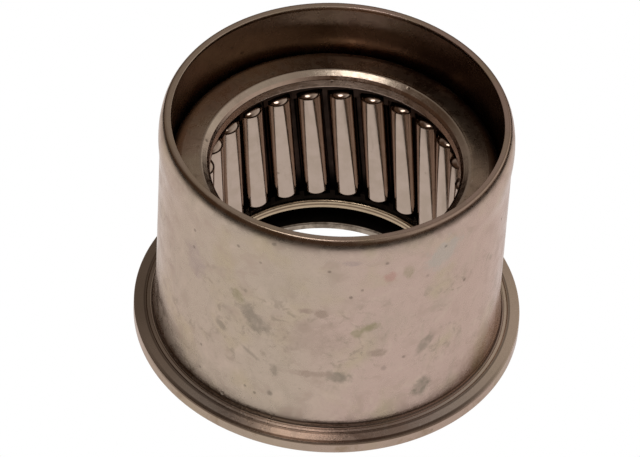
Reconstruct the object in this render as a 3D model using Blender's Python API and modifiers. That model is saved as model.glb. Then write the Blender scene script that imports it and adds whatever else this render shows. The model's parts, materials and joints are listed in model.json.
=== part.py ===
"""Caged needle roller bearing in a flanged sleeve.

Metres, +Z up along the bearing axis. The origin is the centre of the flange's underside.
"""

import math

import bmesh
import bpy
from mathutils import Vector

MM = 0.001

# Sleeve: a steel tube with a solid flange at its foot and a rim rounded over on its outer side.
SLEEVE_HEIGHT = 39.4 * MM
SLEEVE_RADIUS = 25.4 * MM
SLEEVE_WALL = 1.25 * MM
RIM_ROUNDING = 1.05 * MM
RIM_INNER_CHAMFER = 0.1 * MM
FLANGE_RADIUS = 28.6 * MM
FLANGE_THICKNESS = 2.45 * MM
FLANGE_FILLET = 0.95 * MM
FLANGE_SLOPE_WIDTH = 1.5 * MM
FLANGE_SLOPE_DROP = 0.4 * MM
FLANGE_EDGE_ROUNDING = 0.2 * MM

# Clearance that every pair of touching surfaces keeps.
CLEARANCE = 0.3 * MM

# Cup: the thick drawn outer ring that carries the raceway and both lips.
CUP_RADIUS = SLEEVE_RADIUS - SLEEVE_WALL - CLEARANCE
CUP_TOP = 31.15 * MM
CUP_BOTTOM = 3.95 * MM
CUP_TOP_ROUNDING = 1.7 * MM
CUP_LIP_ROUNDING = 1.0 * MM
LIP_RADIUS = 18.05 * MM
TOP_LIP_UNDERSIDE = 28.75 * MM
BOTTOM_LIP_THICKNESS = 1.5 * MM
BOTTOM_LIP_ROUNDING = 0.3 * MM

# Needles: straight rollers that all lean the same way round the axis.
NEEDLE_COUNT = 25
NEEDLE_RADIUS = 1.985 * MM
NEEDLE_LENGTH = 21.0 * MM
NEEDLE_CHAMFER = 0.35 * MM
NEEDLE_MID_HEIGHT = 17.3 * MM
PITCH_RADIUS = 19.42 * MM
NEEDLE_SKEW = math.radians(6.0)
FIRST_NEEDLE_ANGLE = math.radians(86.3)
RACEWAY_RADIUS = PITCH_RADIUS + NEEDLE_RADIUS + CLEARANCE

# Cage: a channel-shaped ring with one pocket for each needle.
CAGE_BOTTOM = CUP_BOTTOM + BOTTOM_LIP_THICKNESS + CLEARANCE
CAGE_TOP = TOP_LIP_UNDERSIDE - 0.25 * MM
CAGE_OUTER_RADIUS = 21.1 * MM
CAGE_BAR_INNER_RADIUS = 20.05 * MM
CAGE_END_THICKNESS = 0.6 * MM
CAGE_TAB_INNER_RADIUS = 18.4 * MM
CAGE_TAB_OUTER_RADIUS = 19.0 * MM
CAGE_TAB_HEIGHT = 1.7 * MM

# Washer: the flat ring that closes the sleeve's foot around the shaft.
WASHER_RADIUS = CUP_RADIUS
WASHER_HOLE_RADIUS = 17.6 * MM
WASHER_THICKNESS = 1.2 * MM
WASHER_CHAMFER = 0.2 * MM

RING_STEPS = 48
CAGE_STEPS = 3 * NEEDLE_COUNT
NEEDLE_SIDES = 12
ARC_STEPS = 3
SCREW_MERGE = 0.00001


def clear_scene():
    for obj in list(bpy.data.objects):
        bpy.data.objects.remove(obj)


def new_collection(name):
    collection = bpy.data.collections.new(name)
    bpy.context.scene.collection.children.link(collection)
    return collection


def steel(name, colour, roughness):
    """A Principled metal of one colour."""
    material = bpy.data.materials.new(name)
    material.use_nodes = True
    shader = material.node_tree.nodes["Principled BSDF"]
    shader.inputs["Base Color"].default_value = (*colour, 1.0)
    shader.inputs["Metallic"].default_value = 1.0
    shader.inputs["Roughness"].default_value = roughness
    return material


def arc(centre, radii, start, end):
    """Points of an ellipse arc in the (radius, height) plane, both ends included; angles in degrees."""
    points = []
    for step in range(ARC_STEPS + 1):
        angle = math.radians(start + (end - start) * step / ARC_STEPS)
        points.append((centre[0] + radii[0] * math.cos(angle), centre[1] + radii[1] * math.sin(angle)))
    return points


def turned_ring(name, outline, steps, material, collection):
    """A closed outline of (radius, height) points turned about Z. It runs down its outer side."""
    mesh = bpy.data.meshes.new(name)
    corners = [(radius, 0.0, height) for radius, height in outline]
    sides = [(i, (i + 1) % len(outline)) for i in range(len(outline))]
    mesh.from_pydata(corners, sides, [])
    obj = bpy.data.objects.new(name, mesh)
    collection.objects.link(obj)
    screw = obj.modifiers.new("turn", "SCREW")
    screw.axis = "Z"
    screw.angle = 2 * math.pi
    screw.steps = steps
    screw.render_steps = steps
    screw.use_merge_vertices = True
    screw.merge_threshold = SCREW_MERGE
    screw.use_smooth_shade = True
    obj.modifiers.new("flat_faces", "WEIGHTED_NORMAL")
    mesh.materials.append(material)
    return obj


def sleeve_outline():
    bore = SLEEVE_RADIUS - SLEEVE_WALL
    slope_start = FLANGE_RADIUS - FLANGE_EDGE_ROUNDING - FLANGE_SLOPE_WIDTH
    slope_end = FLANGE_RADIUS - FLANGE_EDGE_ROUNDING
    edge_top = FLANGE_THICKNESS - FLANGE_SLOPE_DROP
    edge = (FLANGE_EDGE_ROUNDING, FLANGE_EDGE_ROUNDING)
    round_rim = (RIM_ROUNDING, RIM_ROUNDING)
    fillet = (FLANGE_FILLET, FLANGE_FILLET)
    outline = arc((SLEEVE_RADIUS - RIM_ROUNDING, SLEEVE_HEIGHT - RIM_ROUNDING), round_rim, 90, 0)
    outline += arc((SLEEVE_RADIUS + FLANGE_FILLET, FLANGE_THICKNESS + FLANGE_FILLET), fillet, 180, 270)
    outline.append((slope_start, FLANGE_THICKNESS))
    outline += arc((slope_end, edge_top - FLANGE_EDGE_ROUNDING), edge, 90, 0)
    outline += arc((slope_end, FLANGE_EDGE_ROUNDING), edge, 0, -90)
    outline.append((bore, 0.0))
    outline.append((bore, SLEEVE_HEIGHT - RIM_INNER_CHAMFER))
    outline.append((bore + RIM_INNER_CHAMFER, SLEEVE_HEIGHT))
    return outline


def cup_outline():
    top_round = (CUP_TOP_ROUNDING, CUP_TOP_ROUNDING)
    lip_round = (CUP_LIP_ROUNDING, CUP_LIP_ROUNDING)
    foot_round = (BOTTOM_LIP_ROUNDING, BOTTOM_LIP_ROUNDING)
    lip_top = CUP_BOTTOM + BOTTOM_LIP_THICKNESS
    outline = arc((CUP_RADIUS - CUP_TOP_ROUNDING, CUP_TOP - CUP_TOP_ROUNDING), top_round, 90, 0)
    outline += arc((CUP_RADIUS - CUP_TOP_ROUNDING, CUP_BOTTOM + CUP_TOP_ROUNDING), top_round, 0, -90)
    outline += arc((LIP_RADIUS + BOTTOM_LIP_ROUNDING, CUP_BOTTOM + BOTTOM_LIP_ROUNDING), foot_round, -90, -180)
    outline += arc((LIP_RADIUS + BOTTOM_LIP_ROUNDING, lip_top - BOTTOM_LIP_ROUNDING), foot_round, 180, 90)
    outline.append((RACEWAY_RADIUS, lip_top))
    outline.append((RACEWAY_RADIUS, TOP_LIP_UNDERSIDE))
    outline.append((LIP_RADIUS, TOP_LIP_UNDERSIDE))
    outline += arc((LIP_RADIUS + CUP_LIP_ROUNDING, CUP_TOP - CUP_LIP_ROUNDING), lip_round, 180, 90)
    return outline


def washer_outline():
    inner = WASHER_HOLE_RADIUS
    return [
        (WASHER_RADIUS, WASHER_THICKNESS),
        (WASHER_RADIUS, 0.0),
        (inner + WASHER_CHAMFER, 0.0),
        (inner, WASHER_CHAMFER),
        (inner, WASHER_THICKNESS - WASHER_CHAMFER),
        (inner + WASHER_CHAMFER, WASHER_THICKNESS),
    ]


def cage_outline():
    """A channel open towards the axis, with a short tab skirt on each end ring."""
    low_end = CAGE_BOTTOM + CAGE_END_THICKNESS
    high_end = CAGE_TOP - CAGE_END_THICKNESS
    return [
        (CAGE_OUTER_RADIUS, CAGE_TOP),
        (CAGE_OUTER_RADIUS, CAGE_BOTTOM),
        (CAGE_TAB_INNER_RADIUS, CAGE_BOTTOM),
        (CAGE_TAB_INNER_RADIUS, CAGE_BOTTOM + CAGE_TAB_HEIGHT),
        (CAGE_TAB_OUTER_RADIUS, CAGE_BOTTOM + CAGE_TAB_HEIGHT),
        (CAGE_TAB_OUTER_RADIUS, low_end),
        (CAGE_BAR_INNER_RADIUS, low_end),
        (CAGE_BAR_INNER_RADIUS, high_end),
        (CAGE_TAB_OUTER_RADIUS, high_end),
        (CAGE_TAB_OUTER_RADIUS, CAGE_TOP - CAGE_TAB_HEIGHT),
        (CAGE_TAB_INNER_RADIUS, CAGE_TOP - CAGE_TAB_HEIGHT),
        (CAGE_TAB_INNER_RADIUS, CAGE_TOP),
    ]


def needle_mesh(name, radius, length, chamfer):
    """A cylinder along Z, centred on its origin, with chamfered ends."""
    shape = bmesh.new()
    bmesh.ops.create_cone(
        shape,
        cap_ends=True,
        segments=NEEDLE_SIDES,
        radius1=radius,
        radius2=radius,
        depth=length,
    )
    if chamfer:
        rims = [edge for edge in shape.edges if abs(edge.verts[0].co.z - edge.verts[1].co.z) < 0.5 * length]
        bmesh.ops.bevel(shape, geom=rims, offset=chamfer, segments=1, affect="EDGES", profile=0.5)
    mesh = bpy.data.meshes.new(name)
    shape.to_mesh(mesh)
    shape.free()
    mesh.shade_smooth()
    mesh.set_sharp_from_angle(angle=math.radians(30))
    return mesh


def needle_places():
    """The middle point and the turn of each needle, counterclockwise seen from above."""
    places = []
    for index in range(NEEDLE_COUNT):
        angle = FIRST_NEEDLE_ANGLE + index * 2 * math.pi / NEEDLE_COUNT
        middle = Vector((PITCH_RADIUS * math.cos(angle), PITCH_RADIUS * math.sin(angle), NEEDLE_MID_HEIGHT))
        places.append((middle, (-NEEDLE_SKEW, 0.0, angle)))
    return places


def pocket_cutters(collection):
    """One mesh with a cylinder for each pocket, a clearance larger than its needle all round."""
    pocket = needle_mesh("pocket", NEEDLE_RADIUS + CLEARANCE, NEEDLE_LENGTH + 2 * CLEARANCE, 0.0)
    tools = []
    for middle, turn in needle_places():
        tool = bpy.data.objects.new("pocket_tool", pocket)
        tool.location = middle
        tool.rotation_euler = turn
        collection.objects.link(tool)
        tools.append(tool)
    bpy.context.view_layer.update()
    shape = bmesh.new()
    for tool in tools:
        single = bmesh.new()
        single.from_mesh(pocket)
        single.transform(tool.matrix_world)
        placed = bpy.data.meshes.new("placed_pocket")
        single.to_mesh(placed)
        single.free()
        shape.from_mesh(placed)
        bpy.data.meshes.remove(placed)
        bpy.data.objects.remove(tool)
    mesh = bpy.data.meshes.new("pocket_cutters")
    shape.to_mesh(mesh)
    shape.free()
    cutters = bpy.data.objects.new("pocket_cutters", mesh)
    cutters.hide_render = True
    cutters.display_type = "WIRE"
    collection.objects.link(cutters)
    return cutters


def make_cage(material, parts, cutting):
    cage = turned_ring("cage", cage_outline(), CAGE_STEPS, material, parts)
    cut = cage.modifiers.new("pockets", "BOOLEAN")
    cut.operation = "DIFFERENCE"
    cut.solver = "EXACT"
    cut.object = pocket_cutters(cutting)
    return cage


def make_needles(material, cage, parts):
    mesh = needle_mesh("needle", NEEDLE_RADIUS, NEEDLE_LENGTH, NEEDLE_CHAMFER)
    mesh.materials.append(material)
    for index, (middle, turn) in enumerate(needle_places()):
        needle = bpy.data.objects.new(f"needle_{index + 1:02d}", mesh)
        needle.location = middle
        needle.rotation_euler = turn
        needle.parent = cage
        parts.objects.link(needle)


def main():
    clear_scene()
    parts = new_collection("needle_roller_bearing")
    cutting = new_collection("cutters")
    cutting.hide_render = True
    sleeve_steel = steel("sleeve_steel", (0.43, 0.37, 0.32), 0.34)
    cup_steel = steel("cup_steel", (0.40, 0.34, 0.29), 0.28)
    washer_steel = steel("washer_steel", (0.38, 0.32, 0.27), 0.35)
    cage_steel = steel("cage_steel", (0.045, 0.036, 0.03), 0.45)
    needle_steel = steel("needle_steel", (0.55, 0.49, 0.44), 0.16)
    sleeve = turned_ring("outer_sleeve", sleeve_outline(), RING_STEPS, sleeve_steel, parts)
    cup = turned_ring("bearing_cup", cup_outline(), RING_STEPS, cup_steel, parts)
    washer = turned_ring("end_washer", washer_outline(), RING_STEPS, washer_steel, parts)
    cage = make_cage(cage_steel, parts, cutting)
    make_needles(needle_steel, cage, parts)
    for piece in (cup, washer, cage):
        piece.parent = sleeve


main()
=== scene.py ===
"""Looks of the needle roller bearing: fine turned meshes, worn steel, a white table and studio light."""

import json
import math

import bmesh
import bpy
from mathutils import Matrix, Vector


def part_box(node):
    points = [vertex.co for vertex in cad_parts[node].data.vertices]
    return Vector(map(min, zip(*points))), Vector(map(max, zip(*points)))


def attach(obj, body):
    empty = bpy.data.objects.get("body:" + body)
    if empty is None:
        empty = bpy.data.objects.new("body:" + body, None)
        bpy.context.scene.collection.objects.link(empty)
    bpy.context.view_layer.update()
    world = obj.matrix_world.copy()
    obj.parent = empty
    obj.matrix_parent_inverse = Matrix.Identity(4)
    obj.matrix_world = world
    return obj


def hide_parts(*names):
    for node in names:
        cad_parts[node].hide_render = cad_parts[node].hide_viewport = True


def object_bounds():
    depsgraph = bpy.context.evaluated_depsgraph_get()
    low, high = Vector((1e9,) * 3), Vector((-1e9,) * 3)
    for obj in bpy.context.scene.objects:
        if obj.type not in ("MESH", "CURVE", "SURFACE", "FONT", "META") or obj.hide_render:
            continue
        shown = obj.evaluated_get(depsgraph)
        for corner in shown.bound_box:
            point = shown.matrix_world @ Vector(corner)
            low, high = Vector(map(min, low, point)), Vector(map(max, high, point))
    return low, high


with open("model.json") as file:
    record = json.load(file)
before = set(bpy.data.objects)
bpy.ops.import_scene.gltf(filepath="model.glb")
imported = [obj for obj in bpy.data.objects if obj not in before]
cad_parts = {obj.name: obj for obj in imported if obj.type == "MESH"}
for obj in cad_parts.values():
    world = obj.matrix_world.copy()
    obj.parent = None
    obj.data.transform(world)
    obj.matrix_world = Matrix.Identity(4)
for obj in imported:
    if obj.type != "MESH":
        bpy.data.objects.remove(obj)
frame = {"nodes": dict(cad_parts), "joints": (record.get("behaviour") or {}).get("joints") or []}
cad_low, cad_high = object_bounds()

MM = 0.001

# Sizes of the CAD pieces that their boxes don't give.
SLEEVE_RADIUS = 25.4 * MM
BORE_RADIUS = 24.15 * MM
LIP_RADIUS = 18.05 * MM
LIP_UNDERSIDE = 28.75 * MM
LOWER_LIP_THICKNESS = 1.5 * MM
RACEWAY_RADIUS = 21.705 * MM
WASHER_HOLE_RADIUS = 17.6 * MM
NEEDLE_RADIUS = 1.985 * MM
NEEDLE_LENGTH = 21.0 * MM

# Shapes that only the fine meshes have.
RIM_BULGE = 0.23 * MM
RIM_DROP = 3.8 * MM
RIM_INSET = 0.98 * MM
RIM_INNER_DROP = 0.9 * MM
RIM_INNER_INSET = 0.30 * MM
SHOULDER_DROP = 8.0 * MM
FOOT_TOP = 8.0 * MM
FOOT_LOW = 3.3 * MM
FOOT_GROWTH = 0.40 * MM
NEEDLE_DOME = 0.9 * MM

# Fineness of the turned meshes.
RING_STEPS = 240
ARC_STEPS = 7
NEEDLE_STEPS = 48
DOME_STEPS = 14
RIM_STEPS = 14
FOOT_STEPS = 8
SHARP_ANGLE = math.radians(40)
ON_AXIS = 1e-7

# Beside each rounding an extra ring of points keeps the flat stretches shaded flat. A rounding takes up
# at most a share of the sides that it joins, and its extra points a share of what it takes.
SUPPORT = 0.06 * MM
ROUNDING_SHARE = 0.9
SUPPORT_SHARE = 0.2

# The camera looks down at the bearing from the front, with a slight roll.
CAMERA_ELEVATION = math.radians(44.45)
CAMERA_ROLL = math.radians(3.36)
CAMERA_DISTANCE = 0.7526
CAMERA_LENS = 290.7
CAMERA_AIM_HEIGHT = 20.04 * MM
CAMERA_AIM_RIGHT = 1.769 * MM
CAMERA_AIM_UP = 1.886 * MM

# The table lights the bearing from below only near its foot.
TABLE_RADIUS = 0.6
TABLE_STEPS = 96
TABLE_DROP = 0.05 * MM
TABLE_BRIGHT_WITHIN = 0.092
TABLE_DIM_BEYOND = 0.155
TABLE_DIM = 0.05

# The key light hangs high in front, a little to the left.
KEY_DIRECTION = (-0.16, -0.33, 0.93)
KEY_DISTANCE = 0.6
KEY_TARGET = Vector((0.0, 0.0, 0.02))
KEY_SIZE = 0.27
KEY_POWER = 0.72


# ---------------------------------------------------------------- turned meshes


def rounded(corners):
    """A closed outline from (radius, height, rounding) corners, each rounding drawn as an exact arc."""
    outline = []
    for index, (radius, height, rounding) in enumerate(corners):
        corner = Vector((radius, height))
        if not rounding:
            outline.append(corner)
            continue
        before = Vector(corners[index - 1][:2]) - corner
        after = Vector(corners[(index + 1) % len(corners)][:2]) - corner
        half = before.angle(after) / 2
        shorter = min(before.length, after.length)
        setback = min(rounding / math.tan(half), ROUNDING_SHARE * shorter)
        start = corner + before.normalized() * setback
        end = corner + after.normalized() * setback
        support = min(SUPPORT, SUPPORT_SHARE * setback)
        outline.append(start + before.normalized() * support)
        for step in range(ARC_STEPS + 1):
            t = step / ARC_STEPS
            shares = ((1 - t) ** 2, 2 * t * (1 - t) * math.sin(half), t ** 2)
            outline.append((start * shares[0] + corner * shares[1] + end * shares[2]) / sum(shares))
        outline.append(end + after.normalized() * support)
    return outline


def turned(name, outline, steps, is_ring=True):
    """The outline turned about Z, its outer side running down. A point on the axis becomes a pole."""
    shape = bmesh.new()
    rings = []
    for radius, height in outline:
        if radius < ON_AXIS:
            rings.append([shape.verts.new((0.0, 0.0, height))] * steps)
            continue
        ring = []
        for step in range(steps):
            angle = 2 * math.pi * step / steps
            ring.append(shape.verts.new((radius * math.cos(angle), radius * math.sin(angle), height)))
        rings.append(ring)
    pairs = list(zip(rings, rings[1:]))
    if is_ring:
        pairs.append((rings[-1], rings[0]))
    for upper, lower in pairs:
        for step in range(steps):
            after = (step + 1) % steps
            corners = [upper[step], lower[step], lower[after], upper[after]]
            shape.faces.new(list(dict.fromkeys(corners)))
    mesh = bpy.data.meshes.new(name)
    shape.to_mesh(mesh)
    shape.free()
    mesh.shade_smooth()
    mesh.set_sharp_from_angle(angle=SHARP_ANGLE)
    return mesh


def placed(name, mesh, material, body, node):
    """An object of the mesh that rides on a body and stands for a CAD node."""
    obj = bpy.data.objects.new(name, mesh)
    bpy.context.scene.collection.objects.link(obj)
    if not mesh.materials:
        mesh.materials.append(material)
    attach(obj, body)
    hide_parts(node)


# ---------------------------------------------------------------- materials


def add(tree, kind, values=None, **settings):
    """A node with its settings; a value that is a socket is linked."""
    made = tree.nodes.new(kind)
    for key, value in settings.items():
        setattr(made, key, value)
    for key, value in (values or {}).items():
        socket = made.inputs[key]
        if isinstance(value, bpy.types.NodeSocket):
            tree.links.new(value, socket)
        else:
            socket.default_value = value
    return made


def maths(tree, operation, *values):
    """The result of a Math node on numbers or sockets."""
    return add(tree, "ShaderNodeMath", dict(enumerate(values)), operation=operation).outputs[0]


def product(tree, *values):
    """Several masks or numbers multiplied."""
    result = values[0]
    for value in values[1:]:
        result = maths(tree, "MULTIPLY", result, value)
    return result


def tint(tree, factor, first, second):
    """A colour between two; a plain colour is an (r, g, b)."""
    values = {0: factor}
    for index, colour in ((6, first), (7, second)):
        values[index] = (*colour, 1.0) if isinstance(colour, tuple) else colour
    return add(tree, "ShaderNodeMix", values, data_type="RGBA").outputs[2]


def painted(tree, colour, mask, share, over):
    """A colour with another laid over it where the mask is 1, at most by the share."""
    return tint(tree, maths(tree, "MULTIPLY", mask, share), colour, over)


def cloud(tree, place, scale, detail=4.0, roughness=0.55, distortion=0.0):
    """Cloudy noise from 0 to 1, mostly near 0.5."""
    values = {"Vector": place, "Scale": scale, "Detail": detail, "Roughness": roughness,
              "Distortion": distortion}
    return add(tree, "ShaderNodeTexNoise", values).outputs["Fac"]


def spread(tree, value, low, high, to_low=0.0, to_high=1.0):
    """The value's stretch from low to high, eased, as a new range."""
    values = {"Value": value, "From Min": low, "From Max": high, "To Min": to_low, "To Max": to_high}
    return add(tree, "ShaderNodeMapRange", values, interpolation_type="SMOOTHSTEP").outputs[0]


def rise(tree, length, start, end, to_low=0.0, to_high=1.0):
    """As spread, for a length, with start and end in millimetres and in either order."""
    return spread(tree, length, start * MM, end * MM, to_low, to_high)


def line_at(tree, length, centre, half):
    """A mask of a thin line round the piece, where a radius or height is near a centre, in millimetres."""
    away = maths(tree, "ABSOLUTE", maths(tree, "SUBTRACT", length, centre * MM))
    return spread(tree, away, half * MM, 0.4 * half * MM)


def stretched(tree, place, scale, offset=(0.0, 0.0, 0.0), turn=0.0):
    """A place scaled, turned about Z, then moved."""
    values = {"Vector": place, "Location": offset, "Rotation": (0.0, 0.0, turn), "Scale": scale}
    return add(tree, "ShaderNodeMapping", values).outputs[0]


def ring_place(tree, place):
    """Coordinates that follow a turned surface: radius, length round the sleeve from its front, height."""
    parts = add(tree, "ShaderNodeSeparateXYZ", {0: place}).outputs
    x_squared = maths(tree, "MULTIPLY", parts[0], parts[0])
    y_squared = maths(tree, "MULTIPLY", parts[1], parts[1])
    radius = maths(tree, "SQRT", maths(tree, "ADD", x_squared, y_squared))
    angle = maths(tree, "ARCTAN2", parts[0], maths(tree, "MULTIPLY", parts[1], -1.0))
    along = maths(tree, "MULTIPLY", angle, SLEEVE_RADIUS)
    return radius, along, parts[2]


# The steels' reflections at grazing angles are a little dimmer and warmer than a clean metal's.
EDGE_TINT = (0.84, 0.76, 0.73)


def steel(name, edge_tint=EDGE_TINT):
    """A new metal with its tree, shader and object coordinates."""
    material = bpy.data.materials.new(name)
    material.use_nodes = True
    tree = material.node_tree
    shader = tree.nodes["Principled BSDF"]
    shader.inputs["Metallic"].default_value = 1.0
    shader.inputs["Specular Tint"].default_value = (*edge_tint, 1.0)
    place = add(tree, "ShaderNodeTexCoord").outputs["Object"]
    return material, tree, shader, place


def finished(tree, shader, colour, roughness, relief, depth):
    """The shader's colour, roughness and bumps linked; depth is how deep the relief is."""
    tree.links.new(colour, shader.inputs["Base Color"])
    tree.links.new(roughness, shader.inputs["Roughness"])
    bump = add(tree, "ShaderNodeBump", {"Height": relief, "Distance": depth, "Strength": 1.0})
    tree.links.new(bump.outputs[0], shader.inputs["Normal"])


def pits(tree, place, scale, amount):
    """A mask of small scattered dots: 1 inside a dot. Amount is the share of cells that have one."""
    cell = add(tree, "ShaderNodeTexVoronoi", {"Vector": place, "Scale": scale, "Randomness": 1.0}).outputs
    chosen = add(tree, "ShaderNodeSeparateColor", {0: cell["Color"]}).outputs
    near = spread(tree, cell["Distance"], 0.10, 0.24, 1.0, 0.0)
    return maths(tree, "MULTIPLY", near, maths(tree, "LESS_THAN", chosen[0], amount))


# Stains on the sleeve's wall, in millimetres and degrees: length round the wall from its front, height,
# half length, half height, turn, colour, share.
GREY_STAIN = (0.235, 0.190, 0.148)
OLIVE_STAIN = (0.270, 0.225, 0.140)
BROWN_STAIN = (0.330, 0.245, 0.195)
PALE_STAIN = (0.405, 0.340, 0.290)
PLUM_STAIN = (0.330, 0.250, 0.228)
RED_STAIN = (0.400, 0.235, 0.195)
DOT_STAIN = (0.150, 0.120, 0.095)
STAINS = (
    (-10.4, 21.0, 3.3, 1.5, -49, GREY_STAIN, 0.55),
    (-13.4, 24.4, 1.5, 0.8, -55, OLIVE_STAIN, 0.50),
    (2.3, 12.6, 1.7, 1.3, 0, GREY_STAIN, 0.62),
    (-2.0, 12.9, 3.2, 0.6, 4, BROWN_STAIN, 0.60),
    (-7.1, 12.3, 0.7, 1.3, 18, GREY_STAIN, 0.45),
    (15.2, 7.3, 1.8, 1.6, 17, GREY_STAIN, 0.68),
    (15.1, 16.0, 1.9, 0.9, 45, GREY_STAIN, 0.50),
    (6.5, 22.2, 1.6, 0.8, 3, OLIVE_STAIN, 0.60),
    (4.4, 21.3, 0.9, 0.8, 20, OLIVE_STAIN, 0.50),
    (7.7, 16.9, 1.5, 0.8, -8, BROWN_STAIN, 0.80),
    (-0.7, 25.3, 1.0, 0.9, 5, BROWN_STAIN, 0.85),
    (-2.9, 25.5, 1.0, 0.5, 10, BROWN_STAIN, 0.70),
    (-1.8, 19.6, 5.2, 3.4, 0, BROWN_STAIN, 0.34),
    (17.2, 33.3, 3.0, 2.3, 57, PALE_STAIN, 0.90),
    (-21.6, 26.3, 2.0, 3.2, 10, PLUM_STAIN, 0.40),
    (2.8, 35.7, 1.4, 0.5, -3, PLUM_STAIN, 0.45),
    (8.8, 32.0, 1.1, 0.9, -16, RED_STAIN, 0.50),
    (11.5, 32.3, 0.8, 1.5, 5, OLIVE_STAIN, 0.40),
    (-16.1, 17.0, 1.3, 0.6, -34, GREY_STAIN, 0.45),
    (-10.9, 14.2, 1.9, 0.4, -33, GREY_STAIN, 0.40),
    (-7.6, 7.3, 0.45, 0.5, 0, DOT_STAIN, 0.42),
    (-8.0, 37.4, 0.4, 0.3, 0, DOT_STAIN, 0.42),
    (-12.1, 26.3, 0.4, 0.4, 0, DOT_STAIN, 0.34),
    (8.8, 13.5, 0.4, 0.4, 0, DOT_STAIN, 0.26),
    (14.7, 30.0, 0.4, 0.4, 0, DOT_STAIN, 0.26),
    (-17.5, 2.2, 0.9, 0.8, 0, BROWN_STAIN, 0.50),
)


def stained(tree, colour, along, height, place):
    """The stains laid over a colour, each an ellipse with a ragged edge."""
    ragged = maths(tree, "MULTIPLY_ADD", cloud(tree, place, 520.0, 6.0, 0.72), 2.8, -1.45)
    broken = spread(tree, cloud(tree, place, 900.0, 4.0, 0.65), 0.34, 0.60, 0.85, 1.45)
    flat = add(tree, "ShaderNodeCombineXYZ", {0: along, 1: height}).outputs[0]
    for across, up, half_length, half_height, turn, stain, share in STAINS:
        centre = (-across * MM, -up * MM, 0.0)
        moved = add(tree, "ShaderNodeVectorMath", {0: flat, 1: centre}).outputs[0]
        turned_place = stretched(tree, moved, (1.0, 1.0, 1.0), turn=-math.radians(turn))
        sized = stretched(tree, turned_place, (1 / (half_length * MM), 1 / (half_height * MM), 1.0))
        far = add(tree, "ShaderNodeVectorMath", {0: sized}, operation="LENGTH").outputs["Value"]
        inside = spread(tree, maths(tree, "ADD", far, ragged), 0.45, 1.30, share, 0.0)
        colour = tint(tree, product(tree, inside, broken), colour, stain)
    return colour


# A painted shade for the dark lines along the fillet and round the flange.
GROOVE_SHADE = (0.060, 0.038, 0.026)


def wall_colour(tree, place, along, height, middle, fine):
    """Greenish on the left and pinkish on the right, clouded, with a belt of smudges and the stains."""
    wide = cloud(tree, place, 75.0, 3.0, 0.5)
    wide_other = cloud(tree, stretched(tree, place, (1.0, 1.0, 1.0), (0.3, 0.7, 0.1)), 120.0, 3.0, 0.5)
    to_right = rise(tree, along, -14.0, 16.0)
    side = maths(tree, "MULTIPLY_ADD", to_right, 0.8, maths(tree, "MULTIPLY", wide, 0.9))
    colour = tint(tree, spread(tree, side, 0.35, 1.20), (0.430, 0.343, 0.271), (0.458, 0.335, 0.282))
    colour = tint(tree, spread(tree, wide_other, 0.50, 0.72), colour, (0.422, 0.334, 0.240))
    colour = tint(tree, spread(tree, middle, 0.52, 0.72, 0.0, 0.55), colour, (0.392, 0.288, 0.232))
    colour = tint(tree, spread(tree, middle, 0.46, 0.30, 0.0, 0.5), colour, (0.490, 0.380, 0.305))
    colour = tint(tree, spread(tree, fine, 0.56, 0.75, 0.0, 0.35), colour, (0.345, 0.275, 0.220))
    belt = product(tree, rise(tree, height, 8.0, 13.0), rise(tree, height, 31.0, 24.0),
                   spread(tree, wide_other, 0.38, 0.55))
    smudges = spread(tree, cloud(tree, place, 640.0, 5.0, 0.68, 0.5), 0.50, 0.66, 0.0, 0.75)
    colour = painted(tree, colour, belt, smudges, (0.300, 0.236, 0.182))
    smears = cloud(tree, stretched(tree, place, (1.0, 1.0, 0.45)), 210.0, 5.0, 0.6, 0.8)
    colour = tint(tree, spread(tree, smears, 0.50, 0.70, 0.0, 0.50), colour, (0.372, 0.296, 0.232))
    return stained(tree, colour, along, height, place)


def flange_colour(tree, colour, place, radius, along, height):
    """Rust low on the flange, painted shade on the left of its top and painted light on the right, and
    painted shade in its lines and on the front of its outer edge.
    """
    foot = rise(tree, height, 2.1, 1.9)
    rust = spread(tree, cloud(tree, place, 260.0, 6.0, 0.7, 0.6), 0.48, 0.66)
    colour = painted(tree, colour, product(tree, foot, rust), 0.70, (0.235, 0.160, 0.095))
    colour = painted(tree, colour, foot, 0.45, (0.270, 0.195, 0.140))
    # Painted shade and light: the flange's top is painted darker on the left and lighter on the right.
    top_light_and_shade = tint(tree, rise(tree, along, -28.0, -10.0), (0.300, 0.236, 0.188), (0.385, 0.342, 0.308))
    top_light_and_shade = tint(tree, rise(tree, along, -25.0, -38.0), top_light_and_shade, (0.165, 0.124, 0.094))
    top_light_and_shade = tint(tree, rise(tree, along, 12.0, 34.0), top_light_and_shade, (0.540, 0.430, 0.335))
    top = product(tree, rise(tree, radius, 26.0, 26.3), rise(tree, height, 1.9, 2.1))
    colour = painted(tree, colour, top, 0.85, top_light_and_shade)
    # Painted shade: a dark line along the top of the fillet, and two dark rings round the flange on its
    # top and its underside.
    colour = painted(tree, colour, line_at(tree, height, 3.22, 0.26), 0.75, GROOVE_SHADE)
    low = rise(tree, height, 2.80, 2.65)
    for centre, half, share in ((25.92, 0.18, 0.85), (27.00, 0.20, 0.62)):
        groove = product(tree, line_at(tree, radius, centre, half), low)
        colour = painted(tree, colour, groove, share, GROOVE_SHADE)
    # Painted shade: a dark band on the flange's outer top edge, strongest at the front.
    edge = product(tree, rise(tree, radius, 28.02, 28.18), rise(tree, height, 1.58, 1.70))
    front = rise(tree, maths(tree, "ABSOLUTE", along), 34.0, 16.0, 0.0, 0.85)
    return painted(tree, colour, edge, front, (0.075, 0.045, 0.028))


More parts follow.
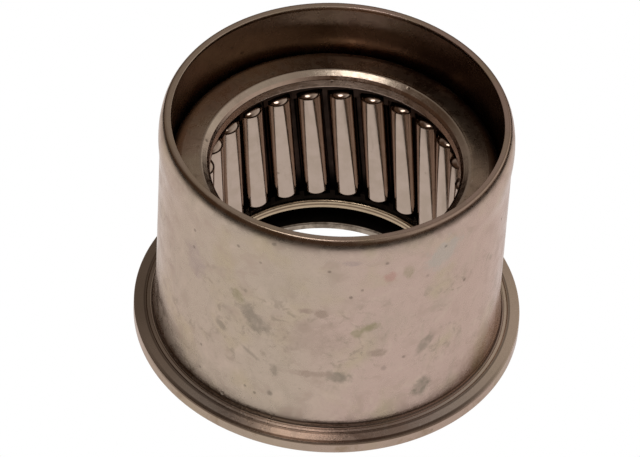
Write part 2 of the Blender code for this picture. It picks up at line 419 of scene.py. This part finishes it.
def sleeve_material():
    """Worn, oil-stained steel: mottled pink and grey-green, with smudges, dots and fine turning lines, and
    painted shade on the rim's top and down the bore.
    """
    material, tree, shader, place = steel("sleeve_worn_shaded")
    radius, along, height = ring_place(tree, place)
    middle = cloud(tree, place, 330.0, 6.0, 0.62, 0.4)
    fine = cloud(tree, place, 1900.0, 3.0, 0.6)
    dots = pits(tree, place, 620.0, 0.035)
    colour = wall_colour(tree, place, along, height, middle, fine)
    colour = painted(tree, colour, dots, 0.34, (0.130, 0.105, 0.085))
    colour = flange_colour(tree, colour, place, radius, along, height)
    # Painted shade: a brown band on the rim's top and upper outside.
    rim = product(tree, rise(tree, height, 37.7, 38.5), rise(tree, radius, 24.45, 24.65))
    colour = painted(tree, colour, rim, 0.40, (0.210, 0.140, 0.090))
    # Painted shade: the bore's wall below the rim is painted dark.
    inner = product(tree, rise(tree, radius, 24.45, 24.25), rise(tree, height, 39.3, 39.1))
    colour = painted(tree, colour, inner, 0.85, (0.135, 0.078, 0.048))
    roughness = maths(tree, "ADD", spread(tree, middle, 0.3, 0.75, 0.20, 0.34), product(tree, dots, 0.2))
    lines = cloud(tree, add(tree, "ShaderNodeCombineXYZ", {0: radius, 2: height}).outputs[0], 5200.0, 2.0)
    relief = maths(tree, "MULTIPLY_ADD", fine, 0.30, product(tree, middle, 0.9))
    relief = maths(tree, "MULTIPLY_ADD", lines, 0.10, relief)
    relief = maths(tree, "SUBTRACT", relief, product(tree, dots, 0.8))
    finished(tree, shader, colour, roughness, relief, 0.03 * MM)
    return material


def cup_material():
    """Turned and hardened steel: concentric lines, brown blotches, rubbed streaks, a painted shade on the
    back right of its top and a painted dark line round it at the lower lip.
    """
    material, tree, shader, place = steel("cup_worn_shaded")
    radius, along, height = ring_place(tree, place)
    wide = cloud(tree, place, 130.0, 4.0, 0.55, 0.5)
    middle = cloud(tree, place, 520.0, 6.0, 0.65, 0.6)
    streak_place = {0: product(tree, radius, 6.0), 1: along, 2: product(tree, height, 6.0)}
    streaks = cloud(tree, add(tree, "ShaderNodeCombineXYZ", streak_place).outputs[0], 480.0, 5.0, 0.6)
    colour = tint(tree, spread(tree, wide, 0.38, 0.66), (0.385, 0.305, 0.226), (0.360, 0.265, 0.200))
    colour = tint(tree, spread(tree, middle, 0.50, 0.70, 0.0, 0.6), colour, (0.190, 0.132, 0.092))
    colour = tint(tree, spread(tree, streaks, 0.58, 0.74, 0.0, 0.55), colour, (0.520, 0.445, 0.370))
    # Painted shade: the back right of the cup's top is painted dark, with a ragged edge.
    flat = product(tree, rise(tree, radius, 19.6, 20.3), rise(tree, height, 27.0, 29.0))
    behind = product(tree, rise(tree, along, 36.0, 48.0), rise(tree, along, 82.0, 66.0))
    ragged = spread(tree, cloud(tree, place, 230.0, 4.0, 0.6), 0.30, 0.50)
    shelf_shade = product(tree, behind, flat, ragged)
    colour = painted(tree, colour, shelf_shade, 0.7, (0.070, 0.049, 0.037))
    raised = rise(tree, height, 28.0, 28.6)
    slope = product(tree, rise(tree, radius, 19.8, 19.5), raised)
    face = product(tree, rise(tree, radius, 18.65, 18.50), raised)
    colour = painted(tree, colour, slope, 0.50, (0.350, 0.288, 0.240))
    colour = painted(tree, colour, face, 0.65, (0.440, 0.312, 0.250))
    colour = painted(tree, colour, rise(tree, height, 8.0, 6.5), 0.75, (0.430, 0.325, 0.215))
    # Painted shade: a dark line round the cup at the lower lip.
    colour = painted(tree, colour, line_at(tree, height, 4.78, 0.24), 0.80, (0.100, 0.062, 0.042))
    dots = pits(tree, place, 800.0, 0.12)
    colour = painted(tree, colour, dots, 0.5, (0.110, 0.085, 0.065))
    polish = maths(tree, "MULTIPLY_ADD", slope, 0.08, spread(tree, streaks, 0.58, 0.74, 0.0, 0.08))
    roughness = maths(tree, "SUBTRACT", spread(tree, middle, 0.3, 0.7, 0.22, 0.38), polish)
    lines = cloud(tree, add(tree, "ShaderNodeCombineXYZ", {0: radius, 2: height}).outputs[0], 4200.0, 3.0)
    relief = maths(tree, "MULTIPLY_ADD", middle, 0.8, product(tree, lines, 0.35))
    relief = maths(tree, "SUBTRACT", relief, product(tree, dots, 0.5))
    finished(tree, shader, colour, roughness, relief, 0.03 * MM)
    return material


def washer_material():
    """Steel painted near-black as shade, with a rubbed inner edge."""
    material, tree, shader, place = steel("washer_shaded_worn")
    radius = ring_place(tree, place)[0]
    middle = cloud(tree, place, 700.0, 6.0, 0.65)
    rubbed = tint(tree, spread(tree, middle, 0.4, 0.65), (0.330, 0.270, 0.215), (0.190, 0.150, 0.115))
    # Painted shade: the washer is near-black except for its inner edge.
    colour = tint(tree, rise(tree, radius, 17.95, 17.75), (0.030, 0.024, 0.020), rubbed)
    roughness = spread(tree, middle, 0.3, 0.7, 0.35, 0.55)
    finished(tree, shader, colour, roughness, middle, 0.03 * MM)
    return material


def needle_material():
    """Ground and polished steel with faint long marks and a few brown specks."""
    material, tree, shader, place = steel("needle_ground")
    info = add(tree, "ShaderNodeObjectInfo").outputs["Random"]
    moved = add(tree, "ShaderNodeVectorMath", {0: place, 1: info}, operation="ADD").outputs[0]
    marks = cloud(tree, stretched(tree, moved, (1.0, 1.0, 0.12)), 900.0, 5.0, 0.6)
    middle = cloud(tree, moved, 380.0, 5.0, 0.6)
    colour = tint(tree, spread(tree, middle, 0.38, 0.66), (0.400, 0.310, 0.256), (0.362, 0.280, 0.224))
    colour = tint(tree, spread(tree, marks, 0.56, 0.75, 0.0, 0.5), colour, (0.300, 0.230, 0.180))
    colour = painted(tree, colour, pits(tree, moved, 700.0, 0.05), 0.5, (0.120, 0.085, 0.060))
    roughness = spread(tree, marks, 0.3, 0.7, 0.09, 0.17)
    finished(tree, shader, colour, roughness, marks, 0.006 * MM)
    return material


def cage_material():
    """Black oxide with a dusty bloom, browner on the bars than on the lower ring, whose darker tone is
    painted shade.
    """
    material, tree, shader, place = steel("cage_black_shaded", (0.08, 0.06, 0.05))
    height = ring_place(tree, place)[2]
    middle = cloud(tree, place, 600.0, 5.0, 0.6)
    colour = tint(tree, spread(tree, middle, 0.4, 0.7), (0.008, 0.006, 0.005), (0.018, 0.013, 0.010))
    # Painted shade: the lower ring is left darker than the bars.
    colour = tint(tree, rise(tree, height, 8.0, 12.0), colour, (0.052, 0.034, 0.027))
    roughness = spread(tree, middle, 0.3, 0.7, 0.45, 0.65)
    finished(tree, shader, colour, roughness, middle, 0.02 * MM)
    return material


# ---------------------------------------------------------------- the pieces


def rim_outline(top):
    """The rim's outside, from its top edge down a quarter ellipse, then back to the wall on a cosine."""
    outline = []
    for step in range(RIM_STEPS + 1):
        angle = math.radians(90 * (1 - step / RIM_STEPS))
        radius = SLEEVE_RADIUS + RIM_BULGE - RIM_INSET * (1 - math.cos(angle))
        outline.append(Vector((radius, top - RIM_DROP * (1 - math.sin(angle)))))
    for step in range(1, RIM_STEPS + 1):
        share = step / RIM_STEPS
        radius = SLEEVE_RADIUS + RIM_BULGE * (0.5 + 0.5 * math.cos(math.pi * share))
        outline.append(Vector((radius, top - RIM_DROP - (SHOULDER_DROP - RIM_DROP) * share)))
    return outline


def foot_outline():
    """The wall's foot, which widens gently towards the fillet above the flange."""
    outline = []
    for step in range(FOOT_STEPS + 1):
        share = step / FOOT_STEPS
        radius = SLEEVE_RADIUS + FOOT_GROWTH * share ** 2
        outline.append(Vector((radius, FOOT_TOP + (FOOT_LOW - FOOT_TOP) * share)))
    return outline


def sleeve_mesh():
    """The sleeve: a turned-in rim, a plain wall, a fillet, and a flange with a shallow groove round it."""
    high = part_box("outer_sleeve")[1]
    flange = high.x
    rim = rim_outline(high.z)
    foot = foot_outline()
    corners = [
        (foot[-1].x, foot[-1].y, 0.0),
        (25.85 * MM, 2.40 * MM, 0.5 * MM),
        (26.24 * MM, 2.46 * MM, 0.05 * MM),
        (26.64 * MM, 2.36 * MM, 0.08 * MM),
        (26.82 * MM, 2.45 * MM, 0.10 * MM),
        (flange - 0.02 * MM, 2.04 * MM, 0.15 * MM),
        (flange, 0.0, 0.25 * MM),
        (BORE_RADIUS, 0.0, 0.15 * MM),
        (BORE_RADIUS, high.z - RIM_INNER_DROP, 0.3 * MM),
        (BORE_RADIUS - RIM_INNER_INSET, high.z, 0.12 * MM),
        (rim[0].x, rim[0].y, 0.0),
    ]
    return turned("outer_sleeve", rim[1:] + foot[:-1] + rounded(corners), RING_STEPS)


def cup_mesh():
    """The cup: a rounded shoulder, a raceway between two lips, and three slopes on the upper lip."""
    low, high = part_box("bearing_cup")
    lower_lip_top = low.z + LOWER_LIP_THICKNESS
    corners = [
        (high.x, high.z, 1.7 * MM),
        (high.x, low.z, 1.6 * MM),
        (LIP_RADIUS, low.z, 0.3 * MM),
        (LIP_RADIUS, lower_lip_top, 0.3 * MM),
        (RACEWAY_RADIUS, lower_lip_top, 0.2 * MM),
        (RACEWAY_RADIUS, LIP_UNDERSIDE, 0.2 * MM),
        (LIP_RADIUS, LIP_UNDERSIDE, 0.15 * MM),
        (LIP_RADIUS + 0.09 * MM, high.z - 0.95 * MM, 0.22 * MM),
        (LIP_RADIUS + 0.48 * MM, high.z - 0.53 * MM, 0.20 * MM),
        (LIP_RADIUS + 1.31 * MM, high.z, 0.50 * MM),
    ]
    return turned("bearing_cup", rounded(corners), RING_STEPS)


def washer_mesh():
    """The washer: a flat ring with rounded edges."""
    low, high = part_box("end_washer")
    edge = 0.25 * MM
    corners = [
        (high.x, high.z, edge),
        (high.x, low.z, edge),
        (WASHER_HOLE_RADIUS, low.z, edge),
        (WASHER_HOLE_RADIUS, high.z, 0.3 * MM),
    ]
    return turned("end_washer", rounded(corners), RING_STEPS)


def needle_mesh():
    """A needle along Z with bullet-like, elliptical ends."""
    straight = NEEDLE_LENGTH / 2 - NEEDLE_DOME
    upper = []
    for step in range(DOME_STEPS + 1):
        angle = math.radians(90 * step / DOME_STEPS)
        upper.append(Vector((NEEDLE_RADIUS * math.sin(angle), straight + NEEDLE_DOME * math.cos(angle))))
    upper.append(Vector((NEEDLE_RADIUS, straight - SUPPORT)))
    lower = [Vector((point.x, -point.y)) for point in reversed(upper)]
    return turned("needle", upper + lower, NEEDLE_STEPS, is_ring=False)


def place_needles(material):
    """One fine needle on each needle's joint, along the joint's axis."""
    mesh = needle_mesh()
    mesh.materials.append(material)
    for joint in frame["joints"]:
        body = joint["child"]
        if not body.startswith("needle_"):
            continue
        obj = bpy.data.objects.new(body + "_fine", mesh)
        bpy.context.scene.collection.objects.link(obj)
        turn = Vector((0.0, 0.0, 1.0)).rotation_difference(Vector(joint["axis"]))
        obj.matrix_world = Matrix.Translation(joint["pos_m"]) @ turn.to_matrix().to_4x4()
        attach(obj, body)
        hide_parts(body)


# ---------------------------------------------------------------- table, light and camera


def table_material():
    """White to the camera; the light that it throws fades with distance, into the dim studio."""
    material = bpy.data.materials.new("table_white")
    material.use_nodes = True
    tree = material.node_tree
    tree.nodes.clear()
    place = add(tree, "ShaderNodeTexCoord").outputs["Object"]
    far = add(tree, "ShaderNodeVectorMath", {0: place}, operation="LENGTH").outputs["Value"]
    fading = spread(tree, far, TABLE_BRIGHT_WITHIN, TABLE_DIM_BEYOND, 1.0, TABLE_DIM)
    seen = add(tree, "ShaderNodeLightPath").outputs["Is Camera Ray"]
    glow = add(tree, "ShaderNodeEmission", {"Strength": maths(tree, "MAXIMUM", fading, seen)})
    out = add(tree, "ShaderNodeOutputMaterial")
    tree.links.new(glow.outputs[0], out.inputs["Surface"])
    return material


def make_table():
    """A round white table just under the flange."""
    mesh = bpy.data.meshes.new("table")
    shape = bmesh.new()
    bmesh.ops.create_circle(shape, cap_ends=True, segments=TABLE_STEPS, radius=TABLE_RADIUS)
    shape.to_mesh(mesh)
    shape.free()
    table = bpy.data.objects.new("table", mesh)
    table.location.z = cad_low[2] - TABLE_DROP
    bpy.context.scene.collection.objects.link(table)
    mesh.materials.append(table_material())


def make_key_light():
    """A round area light aimed at the middle of the bearing."""
    light = bpy.data.lights.new("key", "AREA")
    light.shape = "DISK"
    light.size = KEY_SIZE
    light.energy = KEY_POWER
    obj = bpy.data.objects.new("key", light)
    away = Vector(KEY_DIRECTION).normalized()
    obj.location = KEY_TARGET + away * KEY_DISTANCE
    obj.rotation_euler = away.to_track_quat("Z", "Y").to_euler()
    bpy.context.scene.collection.objects.link(obj)


def make_world():
    """A dim studio, brighter to the right, behind and straight above, and plain white to the camera."""
    world = bpy.data.worlds.new("studio")
    bpy.context.scene.world = world
    world.use_nodes = True
    tree = world.node_tree
    tree.nodes.clear()
    place = add(tree, "ShaderNodeTexCoord").outputs["Generated"]
    x, y, z = add(tree, "ShaderNodeSeparateXYZ", {0: place}).outputs
    right = spread(tree, x, 0.15, 0.75, 0.0, 0.75)
    behind = spread(tree, y, 0.1, 0.7, 0.01, 0.30)
    walls = maths(tree, "MULTIPLY", maths(tree, "ADD", right, behind), spread(tree, z, 0.10, 0.45))
    bright = maths(tree, "ADD", walls, spread(tree, z, 0.80, 0.96, 0.0, 0.40))
    glow = tint(tree, bright, (0.095, 0.056, 0.033), (1.0, 0.97, 0.93))
    studio = add(tree, "ShaderNodeBackground", {"Color": glow, "Strength": 1.0})
    white = add(tree, "ShaderNodeBackground", {"Color": (1.0, 1.0, 1.0, 1.0), "Strength": 1.0})
    seen = add(tree, "ShaderNodeLightPath").outputs["Is Camera Ray"]
    both = add(tree, "ShaderNodeMixShader", {0: seen, 1: studio.outputs[0], 2: white.outputs[0]})
    out = add(tree, "ShaderNodeOutputWorld")
    tree.links.new(both.outputs[0], out.inputs["Surface"])


def make_camera():
    """The camera, with its roll turned about its own line of sight."""
    camera = bpy.data.cameras.new("camera")
    camera.lens = CAMERA_LENS
    camera.clip_start = 0.05
    camera.clip_end = 20.0
    obj = bpy.data.objects.new("camera", camera)
    back = Vector((0.0, -math.cos(CAMERA_ELEVATION), math.sin(CAMERA_ELEVATION)))
    right = Vector((1.0, 0.0, 0.0))
    up = back.cross(right)
    turn = Matrix.Rotation(CAMERA_ROLL, 3, back)
    right = turn @ right
    up = turn @ up
    aim = Vector((0.0, 0.0, CAMERA_AIM_HEIGHT)) - right * CAMERA_AIM_RIGHT - up * CAMERA_AIM_UP
    place = Matrix((right, up, back)).transposed().to_4x4()
    place.translation = aim + back * CAMERA_DISTANCE
    obj.matrix_world = place
    bpy.context.scene.collection.objects.link(obj)
    bpy.context.scene.camera = obj


def main():
    """The stage, then every fine piece. The cage keeps its CAD shape with a new material."""
    make_camera()
    make_world()
    make_table()
    make_key_light()
    placed("sleeve_fine", sleeve_mesh(), sleeve_material(), "housing", "outer_sleeve")
    placed("cup_fine", cup_mesh(), cup_material(), "housing", "bearing_cup")
    placed("washer_fine", washer_mesh(), washer_material(), "housing", "end_washer")
    place_needles(needle_material())
    cage = frame["nodes"]["cage"]
    cage.data.materials.clear()
    cage.data.materials.append(cage_material())
    bpy.context.scene.view_settings.view_transform = "Standard"


main()
